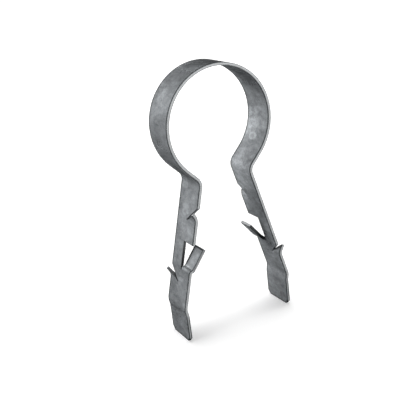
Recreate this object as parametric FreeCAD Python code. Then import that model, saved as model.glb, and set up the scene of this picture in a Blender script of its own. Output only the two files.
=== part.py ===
import FreeCAD, Part
import math
import os

# A cable clip bent from one galvanised spring-steel strip. An open ring holds the cable. Two splayed
# legs hang below it, each with a tab pressed inward and two pointed barbs lanced outward.
# Millimetres and degrees. Z is up, Y runs along the cable, the origin lies midway between the feet.

# strip and ring
strip_width = 13.8
strip_thick = 1.0
ring_bore = 40.0
# neck, where the ring's ends turn down into the legs; bend radii are on the inside of the bend
neck_gap = 20.2
neck_drop = 19.15
neck_radius = 3.2
# legs, down to the feet
leg_length = 47.9
leg_splay = 15.2
joggle_inset = 0.5
joggle_drop = 2.9
joggle_radius = 3.5
foot_length = 10.4
foot_chamfer = 1.5
# pressed tab: roots lie down the leg from the neck's corner, widths lie in from the strip's edge
tab_root = 34.1
tab_width = 6.4
tab_reach = 8.4
tab_radius = 0.5
tab_step = 0.2
tab_first_turn = 65.0
tab_lean = 23.0
window_gap = 0.3
# lanced barbs, placed the same way; the rise is how far a slit climbs from the root to the edge,
# and the notch is how much lower the upper barb's own cut ends there
slit_kerf = 0.15
upper_root = 15.2
upper_width = 6.7
upper_rise = 5.5
upper_notch = 1.0
upper_radius = 3.6
upper_turn = 47.0
upper_point = 0.7
lower_root = 39.25
lower_width = 6.0
lower_rise = 5.0
lower_radius = 2.7
lower_turn = 45.0
lower_point = 2.05

half_width = strip_width / 2
half_thick = strip_thick / 2
ring_radius = ring_bore / 2 + half_thick
x_axis = FreeCAD.Vector(1, 0, 0)
y_axis = FreeCAD.Vector(0, 1, 0)
z_axis = FreeCAD.Vector(0, 0, 1)
ring_centre = FreeCAD.Vector(0, 0, 0)


def heading(degrees, length):
    """A step that leans outward from straight down by an angle."""
    angle = math.radians(degrees)
    return FreeCAD.Vector(math.sin(angle), 0, -math.cos(angle)) * length


neck = FreeCAD.Vector(neck_gap / 2, 0, -neck_drop)
knee = neck + heading(leg_splay, leg_length)
ankle = knee + FreeCAD.Vector(-joggle_inset, 0, -joggle_drop)
foot_end = ankle + heading(0, foot_length)


def on_ring(angle, radius):
    """Point of a circle about the ring's axis, with the angle in radians from +X."""
    return FreeCAD.Vector(math.cos(angle), 0, math.sin(angle)) * radius


def touch_angle():
    """Angle where the straight line from the neck's corner touches the ring's centre line."""
    return math.atan2(neck.z, neck.x) + math.acos(ring_radius / neck.Length)


def bend_stops(behind, corner, ahead, inner_radius, shift):
    """Start, middle and end of the arc that rounds a corner, moved sideways by shift."""
    before = (corner - behind).normalize()
    after = (ahead - corner).normalize()
    turn = before.getAngle(after)
    hand = 1 if y_axis.cross(before).dot(after) > 0 else -1
    radius = inner_radius + half_thick
    hub = corner - before * (radius * math.tan(turn / 2)) + y_axis.cross(before) * (hand * radius)
    reach = radius - hand * shift
    return [
        hub - y_axis.cross(before) * (hand * reach),
        hub + (corner - hub).normalize() * reach,
        hub - y_axis.cross(after) * (hand * reach),
    ]


def side_edges(corners, radii, shift):
    """Lines and arcs of a path through corners, moved sideways by shift."""
    across_start = y_axis.cross((corners[1] - corners[0]).normalize())
    across_end = y_axis.cross((corners[-1] - corners[-2]).normalize())
    last = corners[0] + across_start * shift
    edges = []
    for k, inner_radius in enumerate(radii):
        stops = bend_stops(corners[k], corners[k + 1], corners[k + 2], inner_radius, shift)
        if last.distanceToPoint(stops[0]) > Part.Precision.confusion():
            edges.append(Part.LineSegment(last, stops[0]).toShape())
        edges.append(Part.Arc(*stops).toShape())
        last = stops[2]
    edges.append(Part.LineSegment(last, corners[-1] + across_end * shift).toShape())
    return edges


def plate(edges, y_from, y_to):
    """A section in the XZ plane, drawn out along the cable."""
    section = Part.Face(Part.Wire(Part.__sortEdges__(edges)))
    section.translate(y_axis * y_from)
    return section.extrude(y_axis * (y_to - y_from))


def ribbon(corners, radii, y_from, y_to):
    """A bent piece of the strip: a path of corners, each rounded to its own inside radius."""
    first = side_edges(corners, radii, half_thick)
    second = side_edges(corners, radii, -half_thick)
    start = Part.LineSegment(first[0].firstVertex().Point, second[0].firstVertex().Point).toShape()
    end = Part.LineSegment(first[-1].lastVertex().Point, second[-1].lastVertex().Point).toShape()
    return plate(first + second + [start, end], y_from, y_to)


def ring_half():
    """Half of the open ring, from its top down to the neck's straight part."""
    low = touch_angle()
    angles = [low, (low + math.pi / 2) / 2, math.pi / 2]
    outer = [on_ring(angle, ring_radius + half_thick) for angle in angles]
    inner = [on_ring(angle, ring_radius - half_thick) for angle in angles]
    edges = [
        Part.Arc(*outer).toShape(),
        Part.LineSegment(outer[2], inner[2]).toShape(),
        Part.Arc(*inner).toShape(),
        Part.LineSegment(inner[0], outer[0]).toShape(),
    ]
    return plate(edges, -half_width, half_width)


def foot_corner(side):
    """Wedge taken off one bottom corner of the foot."""
    corner = foot_end + y_axis * (side * half_width) - x_axis * strip_thick
    outline = [corner, corner + z_axis * foot_chamfer, corner - y_axis * (side * foot_chamfer), corner]
    return Part.Face(Part.makePolygon(outline)).extrude(x_axis * (2 * strip_thick))


def leg_strip():
    """Neck, leg, joggle and foot as one bent ribbon."""
    path = [on_ring(touch_angle(), ring_radius), neck, knee, ankle, foot_end]
    leg = ribbon(path, [neck_radius, joggle_radius, joggle_radius], -half_width, half_width)
    return leg.cut([foot_corner(-1), foot_corner(1)])


def on_leg(shape):
    """Moves a feature drawn on a leg hanging straight down from the origin onto the splayed leg."""
    shape.rotate(ring_centre, y_axis, -leg_splay)
    shape.translate(neck)
    return shape


def through_cut(outline):
    """A cut through the hanging leg; the outline lists places along the cable and down the leg."""
    points = [FreeCAD.Vector(-strip_thick, along, -down) for along, down in outline]
    points.append(points[0])
    return Part.Face(Part.makePolygon(points)).extrude(x_axis * (2 * strip_thick))


def tab_path():
    """Corners of the tab's centre line: a sharp step inward from the root, then a straight lean."""
    first = math.radians(tab_first_turn)
    back = math.radians(tab_first_turn - tab_lean)
    radius = tab_radius + half_thick
    root = FreeCAD.Vector(0, 0, -tab_root)
    crook = root + z_axis * (radius * math.tan(first / 2))
    step = radius * math.tan(first / 2) + tab_step + radius * math.tan(back / 2)
    bend = crook - heading(tab_first_turn, step)
    tip = bend - heading(tab_lean, radius * math.tan(back / 2) + tab_reach)
    return [root, crook, bend, tip]


def pressed_tab():
    """The tab pushed inward out of half of the leg's width."""
    return ribbon(tab_path(), [tab_radius, tab_radius], half_width - tab_width, half_width)


def window():
    """The opening the tab leaves: as long as the tab is along its bends, and open at the edge."""
    bent = math.radians(2 * tab_first_turn - tab_lean) * (tab_radius + half_thick)
    top = tab_root - bent - tab_step - tab_reach - window_gap
    side = half_width - tab_width - window_gap
    outside = half_width + strip_thick
    return through_cut([(outside, top), (side, top), (side, tab_root), (outside, tab_root)])


def slit(root, width, rise, side):
    """The slanting slit above a barb, from the end of the barb's root out through the strip's edge."""
    end = side * (half_width - width)
    outside = side * (half_width + strip_thick)
    top = root - slit_kerf - rise * (width + strip_thick) / width
    return through_cut([(outside, root), (end, root), (end, root - slit_kerf), (outside, top)])


def barb(root, width, rise, inner_radius, turn, point, side):
    """A pointed flap on the strip's edge, curled outward about its root and cut along the slit."""
    radius = inner_radius + half_thick
    tangent = radius * math.tan(math.radians(turn) / 2)
    foot = FreeCAD.Vector(0, 0, -root)
    crook = foot + z_axis * tangent
    tip = crook - heading(-turn, tangent + point)
    edge = side * half_width
    end = side * (half_width - width)
    flap = ribbon([foot, crook, tip], [inner_radius], min(edge, end), max(edge, end))
    blunt = width * (1 - (radius * math.radians(turn) + point) / rise)
    along = (tip - foot).normalize()
    beyond = along * (width + rise)
    slit_start = foot + y_axis * end
    slit_stop = tip + y_axis * (edge - side * blunt)
    outline = [slit_start, slit_stop, slit_stop + beyond, slit_start + beyond, slit_start]
    depth = y_axis.cross(along) * rise
    offcut = Part.Face(Part.makePolygon([place - depth for place in outline]))
    return flap.cut(offcut.extrude(depth * 2))


def half_clip():
    """One leg with its half of the ring; its tab and upper barb are on the rear edge."""
    cuts = [
        window(),
        slit(upper_root, upper_width, upper_rise, 1),
        slit(lower_root, lower_width, lower_rise, -1),
    ]
    flaps = [
        pressed_tab(),
        barb(upper_root, upper_width, upper_rise - upper_notch, upper_radius, upper_turn, upper_point, 1),
        barb(lower_root, lower_width, lower_rise, lower_radius, lower_turn, lower_point, -1),
    ]
    body = ring_half().fuse(leg_strip())
    body = body.cut([on_leg(shape) for shape in cuts])
    return body.fuse([on_leg(shape) for shape in flaps])


# the other leg is the same leg turned half round
right = half_clip()
left = right.copy()
left.rotate(ring_centre, z_axis, 180)
clip = right.fuse(left).removeSplitter().Solids[0]
clip.translate(z_axis * -foot_end.z)

os.makedirs("parts", exist_ok=True)
clip.exportStep("parts/clip_strip.step")
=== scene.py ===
import math

import bpy
from mathutils import Matrix, Vector


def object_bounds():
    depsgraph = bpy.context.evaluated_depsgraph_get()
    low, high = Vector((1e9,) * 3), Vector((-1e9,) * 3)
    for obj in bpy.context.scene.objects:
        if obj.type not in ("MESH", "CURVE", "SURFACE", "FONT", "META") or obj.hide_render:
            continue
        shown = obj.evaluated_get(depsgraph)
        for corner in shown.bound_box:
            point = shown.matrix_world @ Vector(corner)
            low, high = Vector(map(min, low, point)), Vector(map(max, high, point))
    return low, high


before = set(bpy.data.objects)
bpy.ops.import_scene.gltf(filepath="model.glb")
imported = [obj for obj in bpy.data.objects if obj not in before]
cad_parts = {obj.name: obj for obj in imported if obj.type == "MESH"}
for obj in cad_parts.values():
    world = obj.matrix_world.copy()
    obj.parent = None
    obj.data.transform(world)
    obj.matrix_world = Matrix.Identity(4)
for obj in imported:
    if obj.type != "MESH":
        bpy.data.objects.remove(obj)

cad_low, cad_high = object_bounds()

# The clip: one strip of galvanised spring steel, slit to width, lanced and pressed, then bent to shape.
# Its broad faces keep the zinc's spangle, its long edges are bright where the strip was slit, and the
# faces that the press cut through are dark.
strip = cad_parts["clip_strip"]

# facets and corners, in metres and radians
joined_within = 1e-6
flat_within = math.radians(0.4)
corner_round = 0.00002
corner_sharp = math.radians(30)

join = strip.modifiers.new("joined_facets", "WELD")
join.merge_threshold = joined_within


def shaded_smooth():
    """Geometry nodes that shade every face of the strip smooth, so bends show no facets."""
    tree = bpy.data.node_groups.new("shaded_smooth", "GeometryNodeTree")
    tree.interface.new_socket("Geometry", in_out="INPUT", socket_type="NodeSocketGeometry")
    tree.interface.new_socket("Geometry", in_out="OUTPUT", socket_type="NodeSocketGeometry")
    start = tree.nodes.new("NodeGroupInput")
    smooth = tree.nodes.new("GeometryNodeSetShadeSmooth")
    end = tree.nodes.new("NodeGroupOutput")
    tree.links.new(start.outputs[0], smooth.inputs["Geometry"])
    tree.links.new(smooth.outputs[0], end.inputs[0])
    return tree


flat = strip.modifiers.new("flat_faces", "DECIMATE")
flat.decimate_type = "DISSOLVE"
flat.angle_limit = flat_within
smooth = strip.modifiers.new("smooth_bends", "NODES")
smooth.node_group = shaded_smooth()
rolled = strip.modifiers.new("rolled_corners", "BEVEL")
rolled.width = corner_round
rolled.segments = 2
rolled.use_clamp_overlap = False
rolled.limit_method = "ANGLE"
rolled.angle_limit = corner_sharp
shading = strip.modifiers.new("shading_by_area", "WEIGHTED_NORMAL")
shading.mode = "FACE_AREA"
shading.weight = 50


def new_tree(owner):
    """The emptied node tree of a material or world."""
    owner.use_nodes = True
    owner.node_tree.nodes.clear()
    return owner.node_tree


def add(kind, inputs=None, **settings):
    """One node in the tree being built; each input is a constant or another node's output."""
    made = tree.nodes.new(kind)
    for name, value in settings.items():
        setattr(made, name, value)
    for name, value in (inputs or {}).items():
        if isinstance(value, bpy.types.NodeSocket):
            tree.links.new(value, made.inputs[name])
        else:
            made.inputs[name].default_value = value
    return made


def reckon(operation, first, second=0.0):
    """The result of an operation on one or two values."""
    return add("ShaderNodeMath", {0: first, 1: second}, operation=operation).outputs[0]


def plus(first, second):
    """The sum of two values."""
    return reckon("ADD", first, second)


def minus(first, second):
    """The first value less the second."""
    return reckon("SUBTRACT", first, second)


def times(first, second):
    """The product of two values."""
    return reckon("MULTIPLY", first, second)


def larger(first, second):
    """The larger of two values."""
    return reckon("MAXIMUM", first, second)


def size_of(value):
    """A value without its sign."""
    return reckon("ABSOLUTE", value)


def ramp(value, low, high, start=0.0, stop=1.0):
    """A smooth step from start to stop as the value goes from low to high."""
    return add("ShaderNodeMapRange", {"Value": value, "From Min": low, "From Max": high,
                                      "To Min": start, "To Max": stop},
               interpolation_type="SMOOTHSTEP").outputs[0]


def scaled(vector, amount):
    """A vector or colour times a number."""
    return add("ShaderNodeVectorMath", {0: vector, "Scale": amount}, operation="SCALE").outputs[0]


def dot(first, second):
    """The dot product of two vectors."""
    made = add("ShaderNodeVectorMath", {0: first, 1: second}, operation="DOT_PRODUCT")
    return made.outputs["Value"]


def distance(first, second):
    """The distance between two places."""
    made = add("ShaderNodeVectorMath", {0: first, 1: second}, operation="DISTANCE")
    return made.outputs["Value"]


def mixed(share, first, second):
    """A colour that goes from the first to the second as the share goes from 0 to 1."""
    return add("ShaderNodeMix", {"Factor": share, "A": first, "B": second}, data_type="RGBA").outputs[2]


steel = bpy.data.materials.new("galvanised_steel_strip")
tree = new_tree(steel)
place = add("ShaderNodeTexCoord").outputs
millimetres = scaled(place["Object"], 1000.0)
at = add("ShaderNodeSeparateXYZ", {"Vector": millimetres}).outputs
normal = add("ShaderNodeSeparateXYZ", {"Vector": place["Normal"]}).outputs

# where a place lies on its leg, in millimetres: out of the leg's plane, down from the neck, across the strip
strip_half_width = cad_high.y * 1000
ring_outer_radius = 21.0
ring_centre_height = cad_high.z * 1000 - ring_outer_radius
neck_half_gap = 10.1
neck_drop = 19.15
neck_corner = Vector((neck_half_gap, 0, ring_centre_height - neck_drop))
leg_splay = math.radians(15.2)
hand = reckon("SIGN", at["X"])
height = at["Z"]
across = size_of(at["Y"])
tab_across = times(at["Y"], hand)
folded = add("ShaderNodeVectorMath", {0: millimetres}, operation="ABSOLUTE").outputs[0]


def along(direction):
    """Distance from the neck's corner along a direction, with both legs folded onto the right one."""
    return minus(dot(folded, direction), neck_corner.dot(direction))


off_leg = along((math.cos(leg_splay), 0, math.sin(leg_splay)))
down_leg = along((math.sin(leg_splay), 0, -math.cos(leg_splay)))
on_tab = times(ramp(off_leg, -0.6, -1.4), ramp(height, 14.0, 18.0))
on_barb = ramp(off_leg, 0.5, 1.3)


def noise(vector, scale, detail, roughness):
    """Random clouds; the scale is about how many there are to a millimetre."""
    return add("ShaderNodeTexNoise", {"Vector": vector, "Scale": scale, "Detail": detail,
                                      "Roughness": roughness}).outputs


# spangle: soft clouds of zinc some millimetres across, mottled in themselves, with pale blooms here and
# there and a fine grain over all
zinc_dull = (0.081, 0.0848, 0.0880, 1)
zinc_bright = (0.246, 0.2570, 0.2665, 1)
stretch = (1.0, 0.6, 1.0)
bloom_drift = (1.2, 1.2, 1.2)
blooms_to_a_millimetre = 0.22
cloud_share = 1.5
bloom_share = 0.35
grain_share = 0.8
spread = add("ShaderNodeVectorMath", {0: millimetres, 1: stretch}, operation="MULTIPLY").outputs[0]
cloud = noise(spread, scale=0.2, detail=4.0, roughness=0.6)
mottle = noise(spread, scale=0.75, detail=3.0, roughness=0.65)
grain = noise(millimetres, scale=2.2, detail=2.0, roughness=0.6)
drift = add("ShaderNodeVectorMath", {0: mottle["Color"], 1: bloom_drift, 2: spread},
            operation="MULTIPLY_ADD").outputs[0]
bloom = add("ShaderNodeTexVoronoi", {"Vector": drift, "Scale": blooms_to_a_millimetre}).outputs
bloom_kind = add("ShaderNodeSeparateColor", {"Color": bloom["Color"]}).outputs[0]
bloom_rim = ramp(bloom["Distance"], 0.40, 0.30)
bloom_heart = ramp(bloom["Distance"], 0.10, 0.28, start=0.35, stop=1.0)
pale = times(times(bloom_rim, bloom_heart), ramp(bloom_kind, 0.55, 0.75))
tone = plus(times(cloud[0], cloud_share), mottle[0])
tone = plus(tone, times(pale, bloom_share))
tone = add("ShaderNodeMapRange", {"Value": tone, "From Min": 0.75, "From Max": 1.85}).outputs[0]
grained = plus(tone, times(minus(grain[0], 0.5), grain_share))
zinc = add("ShaderNodeValToRGB", {"Fac": grained})
zinc.color_ramp.elements[0].color = zinc_dull
zinc.color_ramp.elements[1].color = zinc_bright

# the side of the strip that faces the cable is painted paler than the outer side, as painted light
inner_side_painted_lift = 1.3
over_middle = larger(minus(height, ring_centre_height), 0.0)
from_middle = add("ShaderNodeCombineXYZ", {"X": at["X"], "Z": over_middle}).outputs[0]
outward = dot(from_middle, place["Normal"])
shade = ramp(outward, 1.0, -1.0, start=1.0, stop=inner_side_painted_lift)

# patches brighter or duller than the rest, partly the zinc's own uneven tone and partly painted light
# and shade, the first two being painted shade on the crown: their middles and radii in millimetres, and
# how strong they are
tone_and_shade_patches = (
    ((15, -2, 92), 12, -0.45),
    ((1, -3, 100), 12, -0.40),
    ((-17, 1, 91), 5, 0.30),
    ((19, 5, 74), 7, 0.45),
    ((17, -5, 69), 5, -0.45),
    ((-15, 1, 64), 12, -0.25),
    ((10, 1, 56), 12, 0.35),
    ((13, -4, 45), 9, -0.25),
    ((18, 0, 28), 7, -0.45),
    ((22, -1, 9), 9, -0.25),
    ((-16, -1, 40), 9, 0.20),
    ((-23, -2, 5), 5, 0.35),
)
patch_core = 0.2
patchy_tone_and_shade = 0.0
for middle_of_patch, radius, strength in tone_and_shade_patches:
    away = distance(millimetres, middle_of_patch)
    patchy_tone_and_shade = plus(ramp(away, radius, patch_core * radius, start=0.0, stop=strength), patchy_tone_and_shade)

# the tab's root is painted pale next to the window, a painted highlight that also lifts the shade in
# its bend, and a painted shade line crosses the outer side of the joggle
crook_middle = (-0.6, 32.8, 0.0)
crease_height = 11.7
crease_slope = 0.11
crease_shade_strength = -0.35
on_section = add("ShaderNodeCombineXYZ", {"X": off_leg, "Y": down_leg}).outputs[0]
pale_crook_highlight = times(ramp(distance(on_section, crook_middle), 1.6, 0.6), ramp(tab_across, 0.2, 0.6))
patchy_tone_and_shade = plus(patchy_tone_and_shade, times(pale_crook_highlight, ramp(tab_across, 2.5, 5.5, start=0.45, stop=0.1)))
from_crease = size_of(minus(minus(height, times(tab_across, crease_slope)), crease_height))
crease_shade = ramp(from_crease, 0.9, 0.1, start=0.0, stop=crease_shade_strength)
patchy_tone_and_shade = plus(patchy_tone_and_shade, times(crease_shade, ramp(outward, -1.0, 1.0)))
shade = times(shade, reckon("EXPONENT", patchy_tone_and_shade))
faces = scaled(zinc.outputs[0], shade)

# painted shade lines on the faces, standing for the shade on the rolled rims: along every sharp corner,
# beside the long edges, round the pressed tabs and round the feet
line_shade = (0.030, 0.033, 0.035, 1)
line_strength = 0.9
line_reach = 0.0008
tab_lean = math.radians(23)
tab_tip = -21.1
chamfer_line = 5.4
square_to_chamfer = 0.7
rounded = add("ShaderNodeBevel", {"Radius": line_reach}, samples=8).outputs[0]
bluntness = dot(rounded, add("ShaderNodeNewGeometry").outputs["Normal"])
corner_line = times(ramp(bluntness, 0.975, 0.90), minus(1.0, pale_crook_highlight))
beside = ramp(across, strip_half_width - 0.8, strip_half_width - 0.35)
beside = times(beside, ramp(on_tab, 0.0, 1.0, start=1.0, stop=0.4))
up_tab = (-math.sin(leg_splay + tab_lean), 0, math.cos(leg_splay + tab_lean))
tab_end = along(up_tab)
tab_side_line = times(on_tab, ramp(tab_across, 1.8, 1.0))
tab_end_line = times(on_tab, ramp(tab_end, tab_tip - 0.9, tab_tip - 0.4))
in_from_chamfer = times(plus(minus(height, across), chamfer_line), square_to_chamfer)
in_from_foot_rim = reckon("MINIMUM", height, in_from_chamfer)
foot_border = ramp(in_from_foot_rim, 0.8, 0.3, start=0.0, stop=0.8)
face_shade_line = larger(beside, corner_line)
face_shade_line = larger(face_shade_line, larger(tab_side_line, tab_end_line))
face_shade_line = larger(face_shade_line, foot_border)
lined = mixed(times(face_shade_line, line_strength), faces, line_shade)

# the slit long edges are bright between corners darkened with painted shade of their rolled rims, and
# on the feet the bright part is narrower
sheared_bright = (0.36, 0.37, 0.375, 1)
edge_shade = (0.060, 0.066, 0.070, 1)
foot_middle = 22.16
foot_bright_shift = 0.15
rim_shade_line = ramp(bluntness, 0.96, 0.84)
off_foot = size_of(plus(minus(at["X"], times(hand, foot_middle)), foot_bright_shift))
foot_line = times(ramp(height, 12.0, 9.0), ramp(off_foot, 0.10, 0.27))
rim_shade_line = larger(rim_shade_line, foot_line)
sideways = size_of(normal["Y"])
at_rim = ramp(across, strip_half_width - 0.25, strip_half_width - 0.05)
long_edge = times(ramp(sideways, 0.8, 0.95), at_rim)
slit_edge = mixed(rim_shade_line, sheared_bright, edge_shade)
slit_edge = scaled(slit_edge, ramp(on_tab, 0.0, 1.0, start=1.0, stop=0.6))
edged = mixed(long_edge, lined, slit_edge)

# the faces that the press cut through are dark in the leg and paler out on the barbs, and paler at the
# upper slit's root; painted light makes them paler at the window's top, where they lie open, and painted
# shade darkens them toward the tab's root, where they lie deep, and at their corners; they are also
# darker toward the feet
cut_tint = (1.0, 1.03, 1.06)
cut_in_leg = 0.045
cut_on_barb = 0.15
window_top_highlight = 0.06
burnish_lift = 0.3
slit_root_lift = 0.10
punched = times(ramp(sideways, 0.25, 0.5), minus(1.0, at_rim))
window_top = times(ramp(down_leg, 21.0, 22.5), ramp(down_leg, 31.0, 24.0))
above_window = ramp(down_leg, 17.0, 16.0)
burnish = times(ramp(off_leg, 0.25, -0.05), above_window)
slit_root = times(ramp(down_leg, 12.0, 14.0), above_window)
cut_level = ramp(on_barb, 0.0, 1.0, start=cut_in_leg, stop=cut_on_barb)
cut_level = plus(cut_level, times(window_top, window_top_highlight))
cut_level = plus(cut_level, times(burnish, burnish_lift))
cut_level = plus(cut_level, times(slit_root, slit_root_lift))
tab_cut_shaded_to_root = ramp(tab_end, -28.5, -24.0, start=0.02, stop=0.075)
cut_level = add("ShaderNodeMix", {"Factor": on_tab, "A": cut_level, "B": tab_cut_shaded_to_root}).outputs[0]
cut_level = times(cut_level, ramp(height, 4.0, 8.0, start=0.4, stop=1.0))
cut_level = times(cut_level, ramp(rim_shade_line, 0.0, 1.0, start=1.0, stop=0.5))
cut = mixed(punched, edged, scaled(cut_tint, cut_level))

# the sheared ends of the tabs are bright with painted shade at their rims, and the barbs' tips are bright
end_shade = (0.10, 0.105, 0.11, 1)
barb_lean = math.radians(30.3)
up_barb = (math.sin(barb_lean), 0, math.cos(barb_lean))
folded_normal = add("ShaderNodeCombineXYZ", {"X": times(normal["X"], hand), "Z": normal["Z"]}).outputs[0]
end_face = times(ramp(dot(folded_normal, up_tab), 0.9, 0.97), ramp(height, 50.0, 45.0))
ended = mixed(end_face, cut, mixed(rim_shade_line, sheared_bright, end_shade))
barb_tip = times(ramp(dot(folded_normal, up_barb), 0.9, 0.97), on_barb)
barb_tip = times(barb_tip, ramp(height, 58.0, 54.0))
skin = mixed(barb_tip, ended, sheared_bright)

# the pale parts of the spangle are a little glossier, and stand up very slightly
gloss = ramp(tone, 0.0, 1.0, start=0.63, stop=0.57)
relief = add("ShaderNodeBump", {"Height": tone, "Strength": 0.12, "Distance": 0.0002}).outputs[0]
surface = add("ShaderNodeBsdfPrincipled", {"Base Color": skin, "Metallic": 1.0, "Roughness": gloss,
                                           "Normal": relief, "Specular Tint": (0.03, 0.03, 0.03, 1)})
add("ShaderNodeOutputMaterial", {"Surface": surface.outputs[0]})
steel.cycles.use_bump_map_correction = False
strip.material_slots[0].material = steel

# The floor: a plain white sheet under the clip, wide enough to fill the picture. It shows white to the
# camera and in the metal, and takes the clip's soft shadow.
floor_half = 6.0
paper_grey = (0.6, 0.6, 0.6, 1)
white = (1, 1, 1, 1)
lamp_lit_within = 0.1
lamp_lit_no_further = 0.6
glow_under_lamps = 0.47
glow_beyond = 1.0
floor_corners = [(-floor_half, -floor_half, 0), (floor_half, -floor_half, 0),
                 (floor_half, floor_half, 0), (-floor_half, floor_half, 0)]
floor_mesh = bpy.data.meshes.new("floor")
floor_mesh.from_pydata(floor_corners, [], [(0, 1, 2, 3)])
floor = bpy.data.objects.new("floor", floor_mesh)
bpy.context.scene.collection.objects.link(floor)
paper = bpy.data.materials.new("white_paper")
tree = new_tree(paper)
light_path = add("ShaderNodeLightPath").outputs
seen = larger(light_path["Is Camera Ray"], light_path["Is Glossy Ray"])
seen = larger(seen, light_path["Is Transmission Ray"])
matt = add("ShaderNodeBsdfDiffuse", {"Color": paper_grey})
on_floor = add("ShaderNodeTexCoord").outputs["Object"]
from_clip = add("ShaderNodeVectorMath", {0: on_floor}, operation="LENGTH").outputs["Value"]
level = ramp(from_clip, lamp_lit_within, lamp_lit_no_further, start=glow_under_lamps, stop=glow_beyond)
glow = add("ShaderNodeEmission", {"Color": white, "Strength": times(seen, level)})
both = add("ShaderNodeAddShader", {0: matt.outputs[0], 1: glow.outputs[0]})
add("ShaderNodeOutputMaterial", {"Surface": both.outputs[0]})
floor_mesh.materials.append(paper)
paper.cycles.emission_sampling = "NONE"

# The studio: a pale room, white at the horizon and dark overhead. The soft boxes round the clip light the
# metal and not the floor. The two boxes overhead light the floor and are not mirrored in the metal.
world = bpy.data.worlds.new("studio")
bpy.context.scene.world = world
tree = new_tree(world)
direction = add("ShaderNodeSeparateXYZ", {"Vector": add("ShaderNodeTexCoord").outputs["Generated"]})
room_level = ramp(direction.outputs["Z"], 0.25, 0.45, start=1.0, stop=0.0)
room = add("ShaderNodeBackground", {"Color": white, "Strength": room_level})
add("ShaderNodeOutputWorld", {"Surface": room.outputs[0]})
clip_middle = Vector((0, 0, 0.055))
lamp_reach = 0.6


def soft_box(name, azimuth, elevation, width, length, watts):
    """A rectangular lamp that faces the clip's middle; azimuth 0 is in front of it and 90 at its right."""
    side, rise = math.radians(azimuth), math.radians(elevation)
    way = Vector((math.sin(side) * math.cos(rise), -math.cos(side) * math.cos(rise), math.sin(rise)))
    lamp = bpy.data.lights.new(name, "AREA")
    lamp.shape = "RECTANGLE"
    lamp.size = width
    lamp.size_y = length
    lamp.energy = watts
    holder = bpy.data.objects.new(name, lamp)
    holder.location = clip_middle + lamp_reach * way
    holder.rotation_euler = (-way).to_track_quat("-Z", "Y").to_euler()
    bpy.context.scene.collection.objects.link(holder)
    return holder


for box in (
    soft_box("left_box", azimuth=255, elevation=37, width=0.4, length=0.4, watts=5.6),
    soft_box("low_back_box", azimuth=222, elevation=14, width=0.34, length=0.26, watts=0.6),
    soft_box("high_back_box", azimuth=182, elevation=60, width=0.34, length=0.34, watts=0.9),
    soft_box("front_box", azimuth=20, elevation=15, width=0.32, length=0.26, watts=1.6),
    soft_box("right_box", azimuth=90, elevation=20, width=0.32, length=0.32, watts=0.5),
):
    box.visible_diffuse = False
for box in (
    soft_box("top_box", azimuth=180, elevation=80, width=0.3, length=0.3, watts=3.6),
    soft_box("top_strip_box", azimuth=180, elevation=86, width=0.7, length=0.2, watts=2.2),
):
    box.visible_glossy = False

# The camera stands at the front left, looking a little down, and is tipped as the photograph is.
# Its place, angles and lens come from a fit of the clip to the photograph.
eye = Vector((-0.122075, -0.226084, 0.140556))
turn, tilt, roll = (math.radians(angle) for angle in (27.472, 20.400, -6.743))
camera = bpy.data.objects.new("camera", bpy.data.cameras.new("camera"))
camera.data.sensor_width = 36.0
camera.data.lens = 63.33
camera.data.clip_start = 0.01
camera.matrix_world = (Matrix.Translation(eye) @ Matrix.Rotation(-turn, 4, "Z")
                       @ Matrix.Rotation(math.pi / 2 - tilt, 4, "X") @ Matrix.Rotation(roll, 4, "Z"))
bpy.context.scene.collection.objects.link(camera)
bpy.context.scene.camera = camera
bpy.context.scene.view_settings.view_transform = "Standard"
